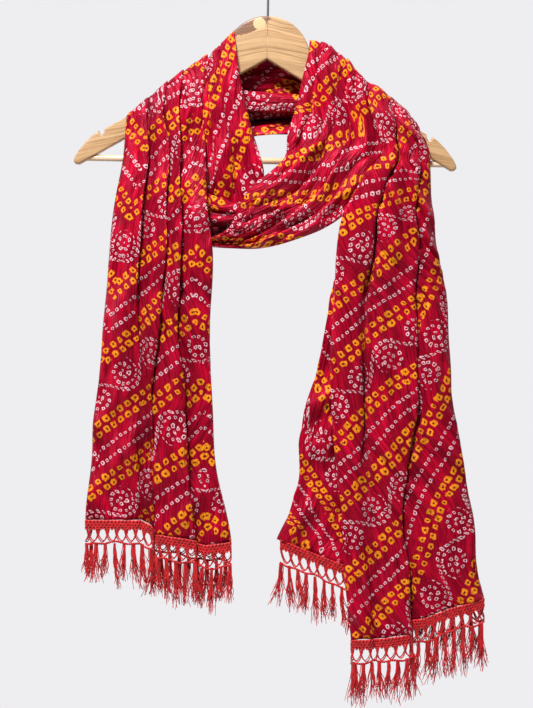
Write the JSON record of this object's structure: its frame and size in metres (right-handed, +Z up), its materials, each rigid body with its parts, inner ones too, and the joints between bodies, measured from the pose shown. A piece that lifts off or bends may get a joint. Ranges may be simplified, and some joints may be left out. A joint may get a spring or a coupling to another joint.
{
  "type": "dupatta stole on a wooden hanger",
  "caption": "Long printed tie-dye stole with net and tassel ends, wound once round a flat wooden clothes hanger with a wire hook.",
  "frame": {"origin": "inner top of the hanger's hook, where a rail holds it", "axes": "+Z up, -Y towards the side that shows, +X to the viewer's right"},
  "size_m": [0.4784, 0.0911, 0.8827],
  "materials": {
    "cloth": "silky printed tie-dye cloth, crimson ground, white and orange dots",
    "fringe": "matt red thread",
    "wood": "satin varnish",
    "steel": "plated wire"
  },
  "bodies": {
    "root": {"left_tail": "cloth", "right_tail": "cloth", "cowl": "cloth", "neck_left": "cloth", "strand_a": "cloth", "strand_b": "cloth", "inner_turn": "cloth", "left_fringe": "fringe", "right_fringe": "fringe", "arm_left": "wood", "arm_right": "wood", "bar": "wood", "hook": "steel"}
  },
  "joints": []
}
